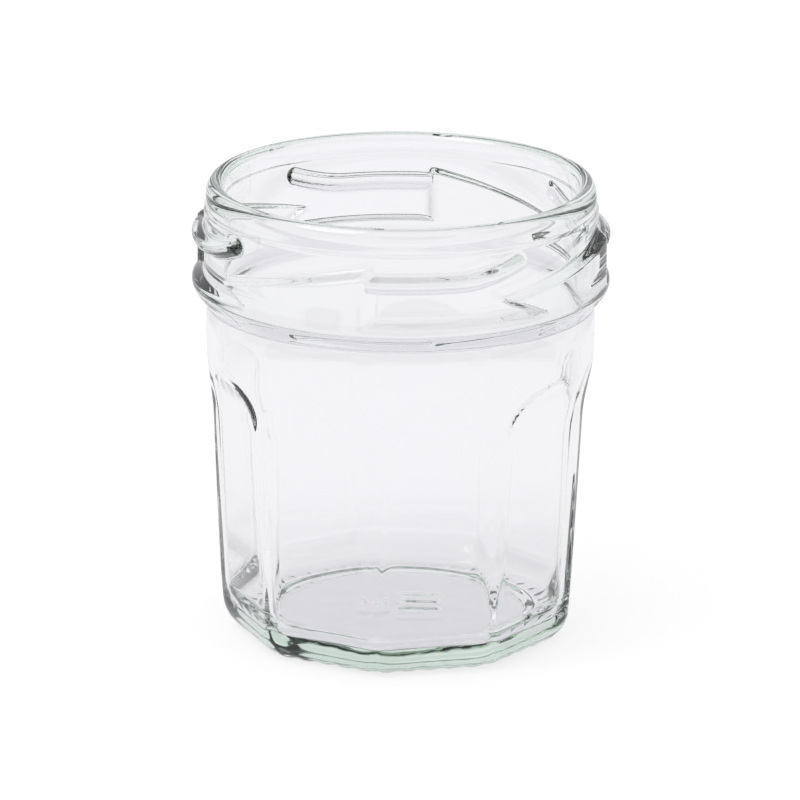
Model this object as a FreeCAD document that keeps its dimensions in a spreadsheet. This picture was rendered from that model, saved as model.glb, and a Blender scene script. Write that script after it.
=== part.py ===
import FreeCAD, Part
import Sketcher
import math
import os
import re

# An empty glass jar for preserves, without its lid, in one piece. From the top down it has a
# rounded lip on a plain band, a neck with four twist-off lugs, a collar, a short round shoulder,
# and a wall that tapers to the base and is pressed into nine flat facets with arched tops.
# Lengths are in millimetres and angles in degrees. The origin is the centre of the ring that the
# jar stands on, +Z is up, and azimuths run counter-clockwise from +X.

doc = FreeCAD.newDocument("glassJar")

# Depths are measured down from the top of the lip, heights up from the standing ring. The neck's
# diameter sets the width of the whole jar: what stands out from it or in from it is given by how far.
sizes = {
    "jarHeight": 94.0,
    # the finish: lip, neck and collar
    "neckDiameter": 79.2,
    "neckWall": 4.0,
    "neckRound": 1.0,
    "lipInset": 0.4,
    "lipDepth": 4.3,
    "lipRound": 1.7,
    "lipFlat": 0.2,
    "collarStand": 2.4,
    "collarDepth": 20.1,
    "collarCrest": 1.6,
    "collarRise": 2.5,
    "collarFall": 5.1,
    "collarRound": 1.2,
    # the outside of the wall and its facets
    "bodyInset": 0.45,
    "shoulderDepth": 31.4,
    "waistDepth": 42.0,
    "waistRound": 40.0,
    "footInset": 3.35,
    "wallTaper": 2.45,
    "heelRadius": 4.8,
    "facetCount": 9,
    "facetTurn": -97.2,
    "facetInset": 2.2,
    "facetTaper": 3.1,
    "facetBendDepth": 40.6,
    "facetBendRadius": 20.0,
    "facetLean": 30.5,
    # the inside
    "wallThickness": 2.4,
    "ridgeThickness": 2.8,
    "innerNeckDepth": 24.0,
    "floorHeight": 4.8,
    "floorCornerRadius": 6.0,
    # the underside: the ring that the jar stands on, and the hollow inside it
    "ringWidth": 1.8,
    "pushUpDepth": 1.6,
    "pushUpSlope": 2.4,
    # the lugs: a bar that runs level from a stop, then climbs, and the ramp behind the stop;
    # lugSide is how much of the bar's height its side has reached half way from root to crest,
    # and lugTip is the share of the bar's size that is left at its end
    "lugCount": 4,
    "lugTurn": -99.0,
    "lugStand": 2.25,
    "lugDepth": 10.7,
    "lugCrest": 1.4,
    "lugRoot": 4.4,
    "lugEdge": 0.15,
    "lugSide": 0.7,
    "lugTip": 0.5,
    "lugBury": 1.5,
    "lugFlatSpan": 27.5,
    "lugSpan": 46.5,
    "lugOverlap": 4.0,
    "lugRise": 2.7,
    "rampInset": 0.15,
    "rampSpan": 50.0,
    "rampTopDepth": 9.9,
    "rampTipDepth": 15.4,
    "rampBevel": 2.0,
    # how far a cutting profile reaches past what it cuts
    "cutClearance": 1.0,
}

sheet = doc.addObject("Spreadsheet::Sheet", "Sizes")
for row, (alias, number) in enumerate(sizes.items(), start=1):
    sheet.set(f"A{row}", alias)
    sheet.set(f"B{row}", str(number))
    sheet.setAlias(f"B{row}", alias)
doc.recompute()

# Places that several profiles share, as expressions of the sheet.
neckRadius = "(neckDiameter / 2)"
mouthRadius = f"({neckRadius} - neckWall)"
lipRadius = f"({neckRadius} - lipInset)"
lipRound = f"min(lipRound; ({lipRadius} - {mouthRadius} - lipFlat) / 2)"
lugRadius = f"({neckRadius} + lugStand)"
collarZ = "(jarHeight - collarDepth)"
collarTopZ = f"({collarZ} + collarRise)"
bodyRadius = f"({neckRadius} - bodyInset)"
footRadius = f"({bodyRadius} - footInset)"
shoulderZ = "(jarHeight - shoulderDepth)"
waistZ = "(jarHeight - waistDepth)"
waistRadius = f"({footRadius} + {waistZ} * tan(wallTaper))"
facetBendZ = "(jarHeight - facetBendDepth)"
facetFoot = f"({footRadius} - facetInset)"
facetAtBend = f"({facetFoot} + {facetBendZ} * tan(facetTaper))"
innerBody = f"({bodyRadius} - wallThickness)"


def bound(expression):
    """The expression with the name of each size pointed at its cell."""
    names = "|".join(sizes)
    return re.sub(rf"\b({names})\b", r"Sizes.\1", f"{expression}")


def valueOf(expression):
    """The number that an expression gives with the sizes in the sheet."""
    return float(sheet.evalExpression(bound(expression)))


def originPlane(body, role):
    return next(item for item in body.Origin.OriginFeatures if item.Role == role)


def cornerTurn(before, corner, after, radius):
    """Where an arc of a radius meets the two sides of a corner, and the arc's centre."""
    first = (before - corner).normalize()
    second = (after - corner).normalize()
    half = first.getAngle(second) / 2
    reach = radius / math.tan(half)
    centre = corner + (first + second).normalize() * (radius / math.sin(half))
    return corner + first * reach, corner + second * reach, centre


def addProfile(body, name, corners, azimuth=None):
    """A closed sketch in the XZ plane, turned to an azimuth, through corners (x, z, radius).

    The corners are expressions. A radius of None leaves the corner sharp; otherwise an arc of
    that radius rounds it and the corner itself stays as a point on both sides.
    """
    sketch = body.newObject("Sketcher::SketchObject", name)
    sketch.AttachmentSupport = [(originPlane(body, "XZ_Plane"), "")]
    sketch.MapMode = "FlatFace"
    if azimuth is not None:
        sketch.AttachmentOffset = FreeCAD.Placement(
            FreeCAD.Vector(), FreeCAD.Rotation(FreeCAD.Vector(0, 1, 0), valueOf(azimuth)))
        sketch.setExpression("AttachmentOffset.Rotation.Angle", bound(azimuth))
    points = [FreeCAD.Vector(valueOf(x), valueOf(z), 0) for x, z, radius in corners]
    count = len(corners)
    turns = []
    for place, (x, z, radius) in enumerate(corners):
        corner = points[place]
        if radius is None:
            turns.append((corner, corner, None))
            continue
        turns.append(cornerTurn(points[place - 1], corner, points[(place + 1) % count],
                                valueOf(radius)))
    sides = []
    for place in range(count):
        start = turns[place][1]
        end = turns[(place + 1) % count][0]
        sides.append(sketch.addGeometry(Part.LineSegment(start, end), False))
    for place, (x, z, radius) in enumerate(corners):
        before, after = sides[place - 1], sides[place]
        if radius is None:
            sketch.addConstraint(Sketcher.Constraint("Coincident", before, 2, after, 1))
            spot, end = after, 1
        else:
            begin, finish, centre = turns[place]
            turn = (begin - centre).cross(finish - centre).z
            first, last = (begin, finish) if turn > 0 else (finish, begin)
            circle = Part.Circle(centre, FreeCAD.Vector(0, 0, 1), valueOf(radius))
            arc = sketch.addGeometry(Part.ArcOfCircle(circle, circle.parameter(first),
                                                      circle.parameter(last)), False)
            ends = (1, 2) if turn > 0 else (2, 1)
            sketch.addConstraint(Sketcher.Constraint("Tangent", before, 2, arc, ends[0]))
            sketch.addConstraint(Sketcher.Constraint("Tangent", arc, ends[1], after, 1))
            size = sketch.addConstraint(Sketcher.Constraint("Radius", arc, valueOf(radius)))
            sketch.setExpression(f"Constraints[{size}]", bound(radius))
            spot = sketch.addGeometry(Part.Point(points[place]), True)
            end = 1
            sketch.addConstraint(Sketcher.Constraint("PointOnObject", spot, 1, before))
            sketch.addConstraint(Sketcher.Constraint("PointOnObject", spot, 1, after))
        for kind, expression in (("DistanceX", x), ("DistanceY", z)):
            size = sketch.addConstraint(
                Sketcher.Constraint(kind, -1, 1, spot, end, valueOf(expression)))
            sketch.setExpression(f"Constraints[{size}]", bound(expression))
    return sketch


def revolve(body, kind, name, corners):
    """Turn a profile all the way round the Z axis, to add to the body or to take from it."""
    sketch = addProfile(body, name + "Profile", corners)
    feature = body.newObject(kind, name)
    feature.Profile = sketch
    feature.ReferenceAxis = (sketch, ["V_Axis"])
    feature.Angle = 360
    body.Tip = feature
    doc.recompute()
    return feature


def repeat(body, name, originals, countName):
    """Spread features evenly round the Z axis."""
    pattern = body.newObject("PartDesign::PolarPattern", name)
    pattern.Originals = originals
    pattern.Axis = (originPlane(body, "Z_Axis"), [""])
    pattern.Angle = 360
    pattern.Occurrences = sizes[countName]
    pattern.setExpression("Occurrences", bound(countName))
    pattern.Refine = False
    body.Tip = pattern
    doc.recompute()
    return pattern


def pressFacets(body, name, inset, foot):
    """Cut flat facets with arched tops round a body, all at one inset from the outer facets.

    The foot holds the corners, if any, that round the lower edge of the facet.
    """
    plane = f"({facetAtBend} - {inset})"
    outside = f"({bodyRadius} + cutClearance)"
    archZ = f"({facetBendZ} + ({outside} - {plane}) / tan(facetLean))"
    sketch = addProfile(body, name + "Profile", foot + [
        (plane, facetBendZ, "facetBendRadius"),
        (outside, archZ, None),
        (outside, "-cutClearance", None),
    ], "facetTurn + 180 / facetCount")
    cut = body.newObject("PartDesign::Pocket", name)
    cut.Profile = sketch
    cut.Midplane = True
    cut.setExpression("Length", bound(f"{bodyRadius}"))
    body.Tip = cut
    doc.recompute()
    repeat(body, name + "Round", [cut], "facetCount")


def barSection(offset, depth, share):
    """Corners of the lug bar's section at an angle past the stop; share scales it at the end."""
    z = f"(jarHeight - ({depth}))"
    crest = f"({share} * lugCrest / 2)"
    root = f"({share} * lugRoot / 2)"
    middle = f"(({crest} + {root}) / 2)"
    top = f"({neckRadius} + {share} * ({lugRadius} - {neckRadius}))"
    side = f"({neckRadius} + {share} * lugSide * ({lugRadius} - {neckRadius}))"
    edge = f"({neckRadius} + lugEdge)"
    buried = f"({neckRadius} - lugBury)"
    return offset, [
        (buried, f"{z} - {root}", None),
        (edge, f"{z} - {root}", None),
        (side, f"{z} - {middle}", None),
        (top, f"{z} - {crest}", None),
        (top, f"{z} + {crest}", None),
        (side, f"{z} + {middle}", None),
        (edge, f"{z} + {root}", None),
        (buried, f"{z} + {root}", None),
    ]


def rampSection(offset, depth):
    """Corners of the ramp's section at an angle before the stop, filled down to the collar."""
    z = f"(jarHeight - ({depth}))"
    buried = f"({neckRadius} - lugBury)"
    outer = f"({lugRadius} - rampInset)"
    return offset, [
        (buried, collarZ, None),
        (outer, collarZ, None),
        (outer, z, None),
        (f"{neckRadius} + lugEdge", f"{z} + rampBevel", None),
        (buried, f"{z} + rampBevel", None),
    ]


def loftSections(body, name, sections):
    """A solid through sections that stand round the neck, each in the plane of its azimuth."""
    sketches = [addProfile(body, f"{name}Section{place}", corners, f"lugTurn + ({offset})")
                for place, (offset, corners) in enumerate(sections)]
    loft = body.newObject("PartDesign::AdditiveLoft", name)
    loft.Profile = sketches[0]
    loft.Sections = sketches[1:]
    loft.Ruled = True
    loft.Refine = False
    body.Tip = loft
    doc.recompute()
    return loft


def makeOutside():
    """The jar's outer form: turned blank, pressed facets, hollow underside and lugs."""
    body = doc.addObject("PartDesign::Body", "outside")
    collarRadius = f"({neckRadius} + collarStand)"
    lipZ = "(jarHeight - lipDepth)"
    revolve(body, "PartDesign::Revolution", "blank", [
        ("0", "0", None),
        (footRadius, "0", "heelRadius"),
        (waistRadius, waistZ, "waistRound"),
        (bodyRadius, shoulderZ, "waistRound"),
        (bodyRadius, f"{collarZ} - collarFall", "neckRound"),
        (collarRadius, f"{collarZ} - collarCrest / 2", "collarRound"),
        (collarRadius, f"{collarZ} + collarCrest / 2", "collarRound"),
        (neckRadius, collarTopZ, "neckRound"),
        (neckRadius, f"{lipZ} - ({neckRadius} - {lipRadius})", None),
        (lipRadius, lipZ, None),
        (lipRadius, "jarHeight", lipRound),
        ("0", "jarHeight", None),
    ])
    inward = f"({facetFoot} - heelRadius - cutClearance)"
    pressFacets(body, "facet", "0", [
        (inward, "-cutClearance", None),
        (inward, "0", None),
        (facetFoot, "0", "heelRadius"),
    ])
    pushUpRadius = f"({facetFoot} - heelRadius - ringWidth)"
    revolve(body, "PartDesign::Groove", "pushUp", [
        ("0", "-cutClearance", None),
        (f"{pushUpRadius} + cutClearance * pushUpSlope / pushUpDepth", "-cutClearance", None),
        (f"{pushUpRadius} - pushUpSlope", "pushUpDepth", "pushUpSlope"),
        ("0", "pushUpDepth", None),
    ])
    levelSteps, climbSteps, rampSteps = 4, 5, 6
    bar = [barSection(f"(lugFlatSpan + lugOverlap) * {step / levelSteps} - lugOverlap", "lugDepth", "1")
           for step in range(levelSteps + 1)]
    bar += [barSection(f"lugFlatSpan + (lugSpan - lugFlatSpan) * {step / climbSteps}",
                       f"lugDepth - lugRise * {step / climbSteps}",
                       "lugTip" if step == climbSteps else "1")
            for step in range(1, climbSteps + 1)]
    ramp = [rampSection("0", "rampTopDepth")]
    ramp += [rampSection(f"-lugOverlap - (rampSpan - lugOverlap) * {step / rampSteps}",
                         f"rampTopDepth + (rampTipDepth - rampTopDepth) * {step / rampSteps}")
             for step in range(rampSteps + 1)]
    for name, sections in (("lugBar", bar), ("lugRamp", ramp)):
        loft = loftSections(body, name, sections)
        repeat(body, name + "Round", [loft], "lugCount")
    return body


def makeInside():
    """The hollow of the jar, with shallower facets than the outside and a rounded lip edge."""
    body = doc.addObject("PartDesign::Body", "inside")
    ridgeFoot = f"({footRadius} - ridgeThickness)"
    openTop = "(jarHeight + cutClearance)"
    midLip = f"(({mouthRadius} + {lipRadius}) / 2)"
    revolve(body, "PartDesign::Revolution", "hollow", [
        ("0", "floorHeight", None),
        (f"{ridgeFoot} + floorHeight * tan(wallTaper)", "floorHeight", "floorCornerRadius"),
        (f"{waistRadius} - ridgeThickness", waistZ, "waistRound"),
        (innerBody, shoulderZ, "waistRound"),
        (innerBody, "jarHeight - innerNeckDepth", "neckRound"),
        (mouthRadius, collarTopZ, "neckRound"),
        (mouthRadius, "jarHeight", lipRound),
        (midLip, "jarHeight", None),
        (midLip, openTop, None),
        ("0", openTop, None),
    ])
    pressFacets(body, "innerFacet", "wallThickness", [
        (f"{facetFoot} - wallThickness", "0", None),
    ])
    return body


jar = doc.addObject("Part::Cut", "jar")
jar.Label = "jar"
jar.Base = makeOutside()
jar.Tool = makeInside()
doc.recompute()

for item in doc.Objects:
    broken = [state for state in item.State if state in ("Invalid", "Error")]
    if broken:
        raise RuntimeError(f"{item.Name} did not build: {broken}")

os.makedirs("parts", exist_ok=True)
for part in [jar]:
    shape = part.Shape
    if shape.isNull() or not shape.isValid() or len(shape.Solids) != 1:
        raise RuntimeError(f"{part.Label} is not one valid solid")
    shape.exportStep(f"parts/{part.Label}.step")
    print(part.Label, f"volume {shape.Volume / 1000:.2f} cm3", f"faces {len(shape.Faces)}",
          shape.BoundBox)
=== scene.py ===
import math

import bpy
import numpy as np
from mathutils import Matrix, Vector


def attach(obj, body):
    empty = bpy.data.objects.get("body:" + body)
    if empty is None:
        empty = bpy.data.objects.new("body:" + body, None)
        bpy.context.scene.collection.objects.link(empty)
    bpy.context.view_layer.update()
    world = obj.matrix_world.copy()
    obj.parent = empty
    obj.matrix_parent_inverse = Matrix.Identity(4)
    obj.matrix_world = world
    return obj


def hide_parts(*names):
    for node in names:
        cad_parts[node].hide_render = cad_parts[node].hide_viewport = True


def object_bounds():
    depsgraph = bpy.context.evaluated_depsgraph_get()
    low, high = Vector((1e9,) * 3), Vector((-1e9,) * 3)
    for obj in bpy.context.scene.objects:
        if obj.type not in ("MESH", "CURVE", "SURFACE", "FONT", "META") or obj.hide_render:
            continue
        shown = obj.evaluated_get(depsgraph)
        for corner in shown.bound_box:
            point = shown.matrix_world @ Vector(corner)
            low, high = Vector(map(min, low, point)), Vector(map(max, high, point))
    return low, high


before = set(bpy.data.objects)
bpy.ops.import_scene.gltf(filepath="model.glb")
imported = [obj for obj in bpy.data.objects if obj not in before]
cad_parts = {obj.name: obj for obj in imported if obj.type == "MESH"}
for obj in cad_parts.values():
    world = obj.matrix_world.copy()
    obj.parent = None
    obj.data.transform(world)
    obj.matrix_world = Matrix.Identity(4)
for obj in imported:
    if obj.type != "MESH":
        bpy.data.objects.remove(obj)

# An empty glass preserve jar. The whole jar is one closed surface: a profile that runs from the middle
# of the underside out, up the outside, over the lip, down the inside and in to the middle of the floor,
# carried once round the axis. Sizes here are in millimetres and angles in degrees.

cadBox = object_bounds()
cadSize = [round(side * 1000, 1) for side in cadBox[1] - cadBox[0]]
print("frame loaded, CAD box", cadSize)

jar = {
    "height": cadSize[2],
    "mouthRadius": 35.6,
    "lipRadius": 39.2,
    "lipDepth": 5.4,  # where the neck steps in to the lip's band
    "lipRound": 1.8,
    "lipFall": 3.0,  # how far down the lip's outer edge is rounded
    "lipStep": 0.5,  # height of that step
    "neckRadius": 39.6,
    "neckBlend": 2.0,  # height over which the wall grows into the neck, above the collar's lower edge
    "bodyRadius": 39.15,
    "shoulderDepth": 31.4,  # where the round body starts to narrow
    "waistDepth": 44.0,  # where it has narrowed to the tapered wall
    "waistBlend": 4.0,
    "footRadius": 35.8,
    "taper": 2.45,
    "heelWidth": 4.8,
    "heelHeight": 6.3,
    "ribs": 44,  # short ribs round the ring that the jar stands on
    "ribDepth": 0.2,
    "ribSharp": 1.6,
    "ribHeight": 2.2,  # how far up the heel they fade out
    "wall": 2.4,
    "ridgeWall": 2.8,
    "floorHeight": 4.8,
    "floorRise": 0.5,  # the middle of the floor stands this much higher
    "floorCorner": 6.0,
    "floorMiddle": 0.35,  # radius of the small flat in the very middle
    "innerNeckDepth": 30.0,  # where the bore has opened to the body
    "innerNeckBlend": 12.0,
    "innerOpening": 20.0,
    "pushUpRadius": 27.0,
    "pushUpDepth": 1.6,
    "pushUpEdge": 3.0,  # how far inside its radius the hollow starts to fall to the ring
    "pushUpSag": 0.12,  # the share of its depth that the hollow loses before that edge
    "ringInset": 0.6,  # from the hollow's radius to the ring's flat
}

facets = {
    "count": 9,
    "turn": -97.2,  # azimuth of the first ridge, from +X
    "footReach": 33.6,  # from the axis to the middle of a facet, at the base
    "taper": 3.1,
    "bendDepth": 45.5,  # where a facet starts to lean out to its arch
    "bendRadius": 20.0,
    "lean": 27.4,
    "ridgeRound": 0.12,
    "footRound": 2.0,  # the ridges grow this much softer towards the base
    "footRoundHeight": 6.0,
    "innerRidgeRound": 0.35,
}

collar = {
    "top": 17.6,  # depths of the collar's edges and of its crest
    "crestTop": 19.8,
    "crestBottom": 20.4,
    "bottom": 25.2,
    "radius": 42.0,
}

lugs = {
    "count": 4,
    "turn": -99.0,  # azimuth of the first stop, from +X
    "radius": 41.9,  # where lengths along a lug are measured; its crest stands as far out as the collar
    "depth": 10.7,
    "flatSpan": 27.5,
    "span": 44.0,
    "rise": 2.7,
    "climbStart": 0.35,  # slope of the climb's start, as a share of its mean slope
    "crest": 0.4,  # half heights of the bar's crest and of its root
    "root": 2.1,
    "rampSpan": 50.0,
    "rampDepth": 8.4,  # of the middle of the ramp's upper edge, at the stop and at its tip
    "rampTipDepth": 15.2,
    "rampBevel": 2.6,
    "rampThin": 0.7,  # the share of its bevel that the ramp loses to its tip
    "rampSlant": 2.9,  # degrees that the front of the ramp slants back by in each millimetre down
    "rampFront": 2.0,
    "stopRound": 1.9,
}

mark = {
    "bars": (((0.5, -4.4), (6.8, -4.4)), ((0.5, 0.0), (6.8, 0.0)), ((0.5, 4.4), (6.8, 4.4))),
    "barCrest": 0.5,  # half widths of a bar's crest and root
    "barRoot": 1.5,
    "dot": (-5.2, 0.0),
    "dotCrest": 0.8,
    "dotRoot": 3.0,
    "relief": 0.3,
}

# the surface's columns round the axis, and its rows: the depths at which the stretches of the wall
# meet, from the heel up outside and from the lip down inside, and the rows' spacing in each stretch
grain = {
    "columns": 420,
    "outsideDepths": (47.5, 32.0, 27.0, 16.0, 4.2),
    "outsideSpacing": (2.6, 0.8, 1.4, 0.5, 0.36, 0.8),
    "insideDepths": (4.0, 16.0, 27.5, 47.5),
    "insideSpacing": (2.4, 1.2, 1.2, 2.6),
    # where columns crowd together: how many places, the first azimuth, half width and extra density
    "crowds": (
        (facets["count"], facets["turn"], 2.2, 2.2),
        (lugs["count"], lugs["turn"], 1.6, 2.5),
        (lugs["count"], lugs["turn"] + lugs["span"], 3.0, 0.8),
    ),
}

height = jar["height"]


def smoothStep(x):
    # a cubic that goes from 0 to 1 with level ends, as x goes from 0 to 1
    x = np.clip(x, 0.0, 1.0)
    return x * x * (3.0 - 2.0 * x)


def softMin(a, b, width):
    # the smaller of two values, blended where they differ by less than about the width
    mix = np.clip(0.5 + 0.5 * (b - a) / width, 0.0, 1.0)
    return b + (a - b) * mix - width * mix * (1.0 - mix)


def facetAngle(azimuth):
    # degrees from the middle of the facet that the azimuth lies on
    step = 360.0 / facets["count"]
    return np.mod(azimuth - facets["turn"], step) - step / 2.0


def coneRadius(z):
    # the round body, a narrowing shoulder, then a straight cone down to the base
    cone = jar["footRadius"] + z * math.tan(math.radians(jar["taper"]))
    waist = height - jar["waistDepth"]
    swellHeight = jar["waistDepth"] - jar["shoulderDepth"] + jar["waistBlend"]
    swell = smoothStep((z - waist + jar["waistBlend"]) / swellHeight)
    return cone + (jar["bodyRadius"] - cone) * swell


def facetReach(z):
    # how far out the middle of a facet lies: the cone's slope, then an arc, then a straight lean
    bend = height - facets["bendDepth"]
    arcEnd = facets["bendRadius"] * math.sin(math.radians(facets["lean"]))
    along = np.clip(z - bend, 0.0, arcEnd)
    arc = facets["bendRadius"] - np.sqrt(facets["bendRadius"] ** 2 - along ** 2)
    beyond = np.clip(z - bend - arcEnd, 0.0, None) * math.tan(math.radians(facets["lean"]))
    return facets["footReach"] + z * math.tan(math.radians(facets["taper"])) + arc + beyond


def facetedRadius(azimuth, z, roundRadius, reach, ridgeRound):
    # the nearest of the round form and the two flat facets beside the azimuth
    angle = np.radians(np.abs(facetAngle(azimuth)))
    step = math.radians(360.0 / facets["count"])
    near = reach / np.cos(angle)
    far = reach / np.cos(step - angle)
    return softMin(softMin(near, far, ridgeRound), roundRadius, ridgeRound)


def lugRelief(azimuth, z):
    # from 0 at the neck to 1 at the crest of a lug: a bar that runs level from its stop, then climbs
    # to a round end, and the ramp behind the stop, filled down to the collar
    step = 360.0 / lugs["count"]
    perDegree = math.radians(1.0) * lugs["radius"]
    along = np.mod(azimuth - lugs["turn"] + step / 2.0, step) - step / 2.0
    relief = np.zeros_like(z)
    for turn in (along - step, along, along + step):
        climb = np.clip(turn - lugs["flatSpan"], 0.0, lugs["span"] - lugs["flatSpan"])
        climb = climb / (lugs["span"] - lugs["flatSpan"])
        slope = lugs["climbStart"] + (1.0 - lugs["climbStart"]) * climb
        middle = height - lugs["depth"] + lugs["rise"] * climb * slope
        beyond = np.clip(turn - lugs["span"], 0.0, None) * perDegree
        bar = bumpOf(np.hypot(z - middle, beyond), lugs["crest"], lugs["root"])
        bar = bar * smoothStep(turn * perDegree / lugs["stopRound"] + 1.0)
        # the ramp's upper edge falls straight to a pointed tip, and its front slants back below that
        fall = np.clip(-turn / lugs["rampSpan"], 0.0, 1.0)
        edge = height - lugs["rampDepth"] - (lugs["rampTipDepth"] - lugs["rampDepth"]) * fall
        bevel = lugs["rampBevel"] * (1.0 - lugs["rampThin"] * fall)
        ramp = smoothStep((edge - z) / bevel + 0.5)
        ramp = ramp * smoothStep(0.5 - turn * perDegree / (2.0 * lugs["stopRound"]))
        front = lugs["rampSlant"] * (height - lugs["rampTipDepth"] - z) - lugs["rampSpan"]
        ramp = ramp * smoothStep((turn - front) * perDegree / lugs["rampFront"] + 0.5)
        relief = np.maximum(relief, np.maximum(bar, ramp))
    return relief


def segmentDistance(x, y, start, end):
    # from each point to the nearest point of a straight segment
    dx, dy = end[0] - start[0], end[1] - start[1]
    share = np.clip(((x - start[0]) * dx + (y - start[1]) * dy) / (dx * dx + dy * dy), 0.0, 1.0)
    return np.hypot(x - start[0] - share * dx, y - start[1] - share * dy)


def bumpOf(distance, crest, root):
    # 1 over the crest, falling to 0 at the root
    return smoothStep((root - distance) / (root - crest))


def collarRelief(z):
    # from 0 above and below the collar to 1 on its crest
    depth = height - z
    rising = smoothStep((depth - collar["top"]) / (collar["crestTop"] - collar["top"]))
    falling = smoothStep((collar["bottom"] - depth) / (collar["bottom"] - collar["crestBottom"]))
    return rising * falling


def outsideRadius(azimuth, z):
    # the whole outside wall: facets under a round shoulder, collar, neck and lugs
    ridgeRound = facets["ridgeRound"] + facets["footRound"] * np.exp(-z / facets["footRoundHeight"])
    wall = facetedRadius(azimuth, z, coneRadius(z), facetReach(z), ridgeRound)
    neckShare = smoothStep((z - (height - collar["bottom"])) / jar["neckBlend"])
    base = wall + (jar["neckRadius"] - wall) * neckShare
    lugStand = lugRelief(azimuth, z) * (z > height - collar["crestBottom"])
    radius = base + (collar["radius"] - base) * np.maximum(collarRelief(z), lugStand)
    lipShare = smoothStep((z - (height - jar["lipDepth"])) / jar["lipStep"])
    return radius + (jar["lipRadius"] - radius) * lipShare


def insideRadius(azimuth, z):
    # the bore of the neck, opening to the body, with facets that are fainter than the outer ones
    body = jar["bodyRadius"] - jar["wall"]
    cone = coneRadius(z) - jar["ridgeWall"]
    bend = height - facets["bendDepth"]
    opening = smoothStep((z - bend + jar["waistBlend"]) / jar["innerOpening"])
    roundForm = cone + (body - cone) * opening
    wall = facetedRadius(azimuth, z, roundForm, facetReach(z) - jar["wall"], facets["innerRidgeRound"])
    neckShare = smoothStep((z - (height - jar["innerNeckDepth"])) / jar["innerNeckBlend"])
    return wall + (jar["mouthRadius"] - wall) * neckShare


def rowHeights(first, depths, last, spacings):
    # evenly spaced heights along each stretch, from its start to the next one's; the last is left out
    starts = [first, *(height - depth for depth in depths), last]
    stretches = []
    for start, end, spacing in zip(starts[:-1], starts[1:], spacings):
        count = max(1, round(abs(end - start) / spacing))
        stretches.append(np.linspace(start, end, count, endpoint=False))
    return np.concatenate(stretches)


def columnAzimuths():
    # azimuths that crowd round the ridges, the stops and the round ends of the bars
    fine = np.linspace(0.0, 360.0, 7201)
    density = np.ones_like(fine)
    for count, turn, width, weight in grain["crowds"]:
        away = np.mod(fine - turn + 180.0 / count, 360.0 / count) - 180.0 / count
        density += weight * np.exp(-(away / width) ** 2)
    total = np.concatenate([[0.0], np.cumsum((density[1:] + density[:-1]) / 2.0)])
    share = np.arange(grain["columns"]) / grain["columns"]
    return np.interp(share * total[-1], total, fine)


def floorMark(x, y):
    # plain mould mark on the floor: three raised bars, one below the other, and a round dot
    raised = np.zeros_like(x)
    for start, end in mark["bars"]:
        away = segmentDistance(x, y, start, end)
        raised = np.maximum(raised, bumpOf(away, mark["barCrest"], mark["barRoot"]))
    away = np.hypot(x - mark["dot"][0], y - mark["dot"][1])
    return mark["relief"] * np.maximum(raised, bumpOf(away, mark["dotCrest"], mark["dotRoot"]))


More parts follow.
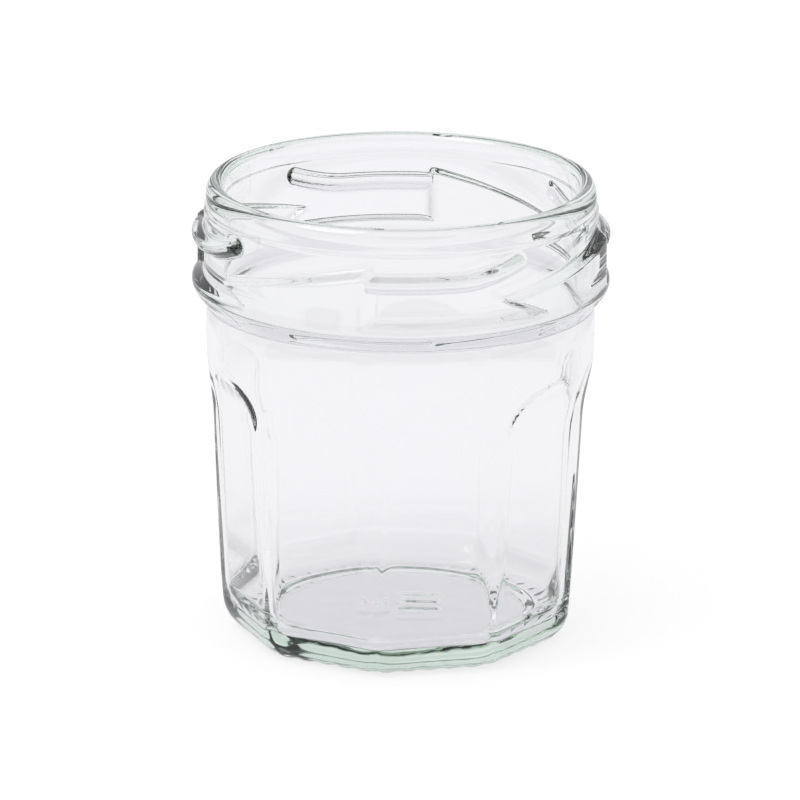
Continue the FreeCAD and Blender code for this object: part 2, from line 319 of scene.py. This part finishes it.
def jarSurface():
    # rows run along the profile, columns round the axis; each row is x, y and z at every azimuth
    azimuth = columnAzimuths()
    around = np.radians(azimuth)
    rows = []

    def addRow(radius, z):
        radius = np.broadcast_to(radius, around.shape)
        rows.append(np.stack([radius * np.cos(around), radius * np.sin(around),
                              np.broadcast_to(z, around.shape)], axis=1))

    # the underside: a shallow hollow, then its edge, which falls to the ring that the jar stands on
    edgeRadius = jar["pushUpRadius"] - jar["pushUpEdge"]
    ringRadius = jar["pushUpRadius"] + jar["ringInset"]
    for share in np.linspace(0.0, 1.0, 9)[1:]:
        addRow(share * edgeRadius, jar["pushUpDepth"] * (1.0 - jar["pushUpSag"] * share ** 2))
    edgeDepth = jar["pushUpDepth"] * (1.0 - jar["pushUpSag"])
    for share in np.linspace(0.0, 1.0, 8)[1:]:
        addRow(edgeRadius + (ringRadius - edgeRadius) * share, edgeDepth * (1.0 - smoothStep(share)))
    # the ring, with ribs that grow across it: each row's share of its width and of the ribs' depth
    heelHeight, heelWidth = jar["heelHeight"], jar["heelWidth"]
    foot = outsideRadius(azimuth, np.zeros_like(azimuth)) - heelWidth
    ribs = 0.5 + 0.5 * np.clip(jar["ribSharp"] * np.cos(around * jar["ribs"]), -1.0, 1.0)
    for share, depth in ((0.3, 0.0), (0.65, 0.5), (1.0, 1.0)):
        addRow(ringRadius * (1.0 - share) + foot * share, jar["ribDepth"] * depth * ribs)
    # the heel: a quarter of an oval from the ring up to the wall, following the facets
    for turn in np.radians(np.linspace(0.0, 90.0, 14)[1:-1]):
        z = heelHeight * (1.0 - math.cos(turn))
        wall = outsideRadius(azimuth, np.full_like(azimuth, z))
        fade = smoothStep(1.0 - z / jar["ribHeight"])
        addRow(wall - heelWidth * (1.0 - math.sin(turn)), z + jar["ribDepth"] * fade * ribs)
    # the outside wall
    lipRound, lipFall = jar["lipRound"], jar["lipFall"]
    for z in rowHeights(heelHeight, grain["outsideDepths"], height - lipFall, grain["outsideSpacing"]):
        addRow(outsideRadius(azimuth, np.full_like(azimuth, z)), z)
    # the lip: rounded outwards over its own fall, then inwards to the mouth
    for turn in np.radians(np.linspace(0.0, 90.0, 9)):
        radius = jar["lipRadius"] - lipRound + lipRound * math.cos(turn)
        addRow(radius, height - lipFall + lipFall * math.sin(turn))
    for turn in np.radians(np.linspace(90.0, 180.0, 8)[1:]):
        radius = jar["mouthRadius"] + lipRound + lipRound * math.cos(turn)
        addRow(radius, height - lipRound + lipRound * math.sin(turn))
    # the inside wall
    corner = jar["floorCorner"]
    floorTop = jar["floorHeight"] + corner
    firstDepth, *otherDepths = grain["insideDepths"]
    for z in rowHeights(height - firstDepth, otherDepths, floorTop, grain["insideSpacing"]):
        addRow(insideRadius(azimuth, np.full_like(azimuth, z)), z)
    # the floor's rounded corner and the floor, which rises a little to the middle
    side = insideRadius(azimuth, np.full_like(azimuth, floorTop))
    for turn in np.radians(np.linspace(0.0, 90.0, 12)):
        z = jar["floorHeight"] + corner * (1.0 - math.sin(turn))
        addRow(side - corner + corner * math.cos(turn), z)
    inner = side - corner
    for share in np.linspace(0.0, 1.0, 34)[1:-1]:
        radius = inner * (1.0 - share) + jar["floorMiddle"] * share
        rise = jar["floorRise"] * smoothStep(share)
        raised = floorMark(radius * np.cos(around), radius * np.sin(around))
        addRow(radius, jar["floorHeight"] + rise + raised)
    poles = np.zeros((2, 3))
    poles[:, 2] = jar["pushUpDepth"], jar["floorHeight"] + jar["floorRise"]
    return np.array(rows) / 1000.0, poles / 1000.0


def meshFromGrid(name, grid, poles):
    # quads between neighbouring rows, closed round the axis, and a fan of triangles at each pole
    rowCount, columnCount = grid.shape[:2]
    index = np.arange(rowCount * columnCount).reshape(rowCount, columnCount)
    right = np.roll(index, -1, axis=1)
    quads = np.stack([index[:-1], right[:-1], right[1:], index[1:]], axis=2).reshape(-1, 4)
    first = np.full(columnCount, index.size)
    last = np.full(columnCount, index.size + 1)
    fans = np.concatenate([np.stack([first, right[0], index[0]], axis=1),
                           np.stack([last, index[-1], right[-1]], axis=1)])
    mesh = bpy.data.meshes.new(name)
    points = np.concatenate([grid.reshape(-1, 3), poles])
    mesh.from_pydata(points.tolist(), [], quads.tolist() + fans.tolist())
    mesh.polygons.foreach_set("use_smooth", np.ones(len(mesh.polygons), dtype=bool))
    mesh.update()
    piece = bpy.data.objects.new(name, mesh)
    bpy.context.scene.collection.objects.link(piece)
    return piece


class Socket:
    # wraps an output so that arithmetic on it adds Math nodes

    def __init__(self, shader, link):
        self.shader = shader
        self.link = link

    def maths(self, operation, a, b):
        return self.shader.maths(operation, a, b)

    def __add__(self, other):
        return self.maths("ADD", self, other)

    def __radd__(self, other):
        return self.maths("ADD", other, self)

    def __sub__(self, other):
        return self.maths("SUBTRACT", self, other)

    def __rsub__(self, other):
        return self.maths("SUBTRACT", other, self)

    def __mul__(self, other):
        return self.maths("MULTIPLY", self, other)

    def __rmul__(self, other):
        return self.maths("MULTIPLY", other, self)

    def __gt__(self, other):
        return self.maths("GREATER_THAN", self, other)


class Shader:
    # a node tree that is filled by one method

    def __init__(self, tree):
        self.tree = tree
        tree.nodes.clear()

    def node(self, kind, settings=None, inputs=None):
        made = self.tree.nodes.new(kind)
        for name, value in (settings or {}).items():
            setattr(made, name, value)
        for name, value in (inputs or {}).items():
            if isinstance(value, Socket):
                self.tree.links.new(value.link, made.inputs[name])
            elif isinstance(value, bpy.types.Node):
                self.tree.links.new(value.outputs[0], made.inputs[name])
            else:
                made.inputs[name].default_value = value
        return made

    def maths(self, operation, a, b=0.0):
        return self.out(self.node("ShaderNodeMath", {"operation": operation}, {0: a, 1: b}))

    def out(self, made, name=0):
        return Socket(self, made.outputs[name])


def newMaterial(name):
    material = bpy.data.materials.new(name)
    material.use_nodes = True
    return material, Shader(material.node_tree)


glass = {
    "colour": (1.0, 1.0, 1.0, 1.0),
    "ior": 1.5,
    "absorbed": (0.80, 0.90, 0.82, 1.0),  # the green that shows by depth
    "depthTint": 25.0,
    "waveScale": 55.0,
    "waveDepth": 0.00004,
    "smearScale": 140.0,
    "smearLevel": 0.55,  # where the noise passes this, the glass is smeared
    "smear": 0.012,
}


def glassMaterial():
    # clear pressed glass: faint waves left by the mould, faint smears, and a green tint by depth
    material, shader = newMaterial("clearGlass")
    place = shader.out(shader.node("ShaderNodeTexCoord"), "Object")
    waves = shader.out(shader.node("ShaderNodeTexNoise", None, {
        "Vector": place, "Scale": glass["waveScale"], "Detail": 1.0}), "Fac")
    smears = shader.out(shader.node("ShaderNodeTexNoise", None, {
        "Vector": place, "Scale": glass["smearScale"], "Detail": 3.0}), "Fac")
    bump = shader.out(shader.node("ShaderNodeBump", None, {
        "Strength": 1.0, "Distance": glass["waveDepth"], "Height": waves}), "Normal")
    body = shader.node("ShaderNodeBsdfPrincipled", None, {
        "Base Color": glass["colour"],
        "Roughness": smears * glass["smear"] * (smears > glass["smearLevel"]),
        "IOR": glass["ior"],
        "Transmission Weight": 1.0,
        "Normal": bump,
    })
    depth = shader.node("ShaderNodeVolumeAbsorption", None, {
        "Color": glass["absorbed"], "Density": glass["depthTint"]})
    shader.node("ShaderNodeOutputMaterial", None, {"Surface": body, "Volume": depth})
    return material


def makeJar():
    grid, poles = jarSurface()
    piece = meshFromGrid("jarGlass", grid, poles)
    piece.data.materials.append(glassMaterial())
    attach(piece, "root")
    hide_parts("jar")
    triangles = sum(len(face.vertices) - 2 for face in piece.data.polygons)
    print("jar made,", grid.shape[0], "rows,", triangles, "triangles")


studio = {
    "floorSide": 3.0,
    "floorColour": (0.3, 0.3, 0.3, 1.0),
    "floorGlow": 0.72,  # with the light that falls on the floor it makes white
    "background": (1.0, 1.0, 1.0, 1.0),
    "throughGlass": (0.835, 0.81, 0.865, 1.0),  # the backdrop as it shows through the glass
    "glassGlow": 0.72,
    "darkSide": 0.05,  # how bright the sides of the room are that the glass bends into view
    "darkFloor": 0.8,  # how bright the table is beyond its bright part
    "backdropEdge": (0.0, 0.55),  # the backdrop's edge, as the cosine of the angle from its middle
    "ceilingEdge": (0.5, 0.8),
    "tableEdge": (0.12, 0.4),  # half width of the bright table, in metres
    "lampPlace": (-0.7, -0.5, 1.1),
    "lampAim": (0.0, 0.0, 0.05),
    "lampSize": 0.8,
    "lampPower": 4.0,
    "bounces": {"max_bounces": 18, "glossy_bounces": 10, "transmission_bounces": 14},
}


def inGlass(shader):
    # 1 on a ray that has just passed through the glass or been mirrored by it
    path = shader.node("ShaderNodeLightPath")
    return (shader.out(path, "Is Transmission Ray") + shader.out(path, "Is Glossy Ray")) > 0.5


def rising(shader, value, edge):
    # from 0 to 1 as a value passes the two ends of an edge
    start, full = edge
    return shader.out(shader.node("ShaderNodeMapRange", {"interpolation_type": "SMOOTHSTEP"}, {
        "Value": value, "From Min": start, "From Max": full, "To Min": 0.0, "To Max": 1.0}))


def makeFloor():
    # white and lit; through the glass it shows as a table with darker edges to the sides and the front
    side = studio["floorSide"] / 2.0
    mesh = bpy.data.meshes.new("floor")
    corners = [(-side, -side, 0), (side, -side, 0), (side, side, 0), (-side, side, 0)]
    mesh.from_pydata(corners, [], [(0, 1, 2, 3)])
    floor = bpy.data.objects.new("floor", mesh)
    bpy.context.scene.collection.objects.link(floor)
    material, shader = newMaterial("paleFloor")
    place = shader.node("ShaderNodeSeparateXYZ", None, {
        0: shader.out(shader.node("ShaderNodeTexCoord"), "Object")})
    x, y = shader.out(place, "X"), shader.out(place, "Y")
    beyond = shader.maths("MAXIMUM", shader.maths("ABSOLUTE", x), 0.0 - y)
    dark = rising(shader, beyond, studio["tableEdge"]) * (1.0 - studio["darkFloor"])
    seen = inGlass(shader)
    straight = shader.out(shader.node("ShaderNodeLightPath"), "Is Camera Ray")
    matt = shader.node("ShaderNodeBsdfDiffuse", None, {"Color": studio["floorColour"]})
    white = shader.node("ShaderNodeEmission", None, {
        "Color": studio["background"],
        "Strength": straight * studio["floorGlow"]})
    tinted = shader.node("ShaderNodeEmission", None, {
        "Color": studio["throughGlass"],
        "Strength": seen * studio["glassGlow"] * (1.0 - dark)})
    shown = shader.node("ShaderNodeAddShader", None, {0: white, 1: tinted})
    lit = shader.node("ShaderNodeAddShader", None, {0: matt, 1: shown})
    shader.node("ShaderNodeOutputMaterial", None, {"Surface": lit})
    mesh.materials.append(material)
    print("floor made,", studio["floorSide"], "m wide")


def makeWorld():
    # white, except through the glass: there a pale backdrop and ceiling, and darker sides
    world = bpy.data.worlds.new("studio")
    world.use_nodes = True
    bpy.context.scene.world = world
    shader = Shader(world.node_tree)
    direction = shader.node("ShaderNodeSeparateXYZ", None, {
        0: shader.out(shader.node("ShaderNodeTexCoord"), "Generated")})
    behind = rising(shader, shader.out(direction, "Y"), studio["backdropEdge"])
    above = rising(shader, shader.out(direction, "Z"), studio["ceilingEdge"])
    bright = shader.maths("MAXIMUM", behind, above)
    sky = shader.node("ShaderNodeBackground", None, {"Color": studio["background"], "Strength": 1.0})
    room = shader.node("ShaderNodeBackground", None, {
        "Color": studio["throughGlass"],
        "Strength": studio["darkSide"] + bright * (1.0 - studio["darkSide"])})
    either = shader.node("ShaderNodeMixShader", None, {0: inGlass(shader), 1: sky, 2: room})
    shader.node("ShaderNodeOutputWorld", None, {"Surface": either})
    print("world made")


def makeLamp():
    # one large soft lamp, high on the left
    lamp = bpy.data.lights.new("softKey", "AREA")
    lamp.energy = studio["lampPower"]
    lamp.shape = "DISK"
    lamp.size = studio["lampSize"]
    holder = bpy.data.objects.new("softKey", lamp)
    holder.location = studio["lampPlace"]
    aim = Vector(studio["lampAim"]) - Vector(studio["lampPlace"])
    holder.rotation_euler = aim.to_track_quat("-Z", "Y").to_euler()
    bpy.context.scene.collection.objects.link(holder)
    print("lamp made")


view = {
    "distance": 1.4,  # in metres, with the height that the camera aims at
    "aim": 0.0477,
    "elevation": 16.98,
    "roll": 0.37,
    "lens": 311.6,
    "sensorWidth": 36.0,
}


def makeCamera():
    # in front of the jar, tilted down by the elevation and rolled a little about its own axis
    tilt = math.radians(view["elevation"])
    roll = math.radians(view["roll"])
    camera = bpy.data.cameras.new("camera")
    camera.lens = view["lens"]
    camera.sensor_width = view["sensorWidth"]
    holder = bpy.data.objects.new("camera", camera)
    back = view["distance"] * math.cos(tilt)
    up = view["distance"] * math.sin(tilt)
    holder.location = (0.0, -back, view["aim"] + up)
    look = Matrix.Rotation(math.pi / 2.0 - tilt, 3, "X") @ Matrix.Rotation(roll, 3, "Z")
    holder.rotation_euler = look.to_euler()
    bpy.context.scene.collection.objects.link(holder)
    bpy.context.scene.camera = holder
    print("camera made")


makeJar()
makeFloor()
makeWorld()
makeLamp()
makeCamera()
bpy.context.scene.view_settings.view_transform = "Standard"
for name, count in studio["bounces"].items():
    setattr(bpy.context.scene.cycles, name, count)
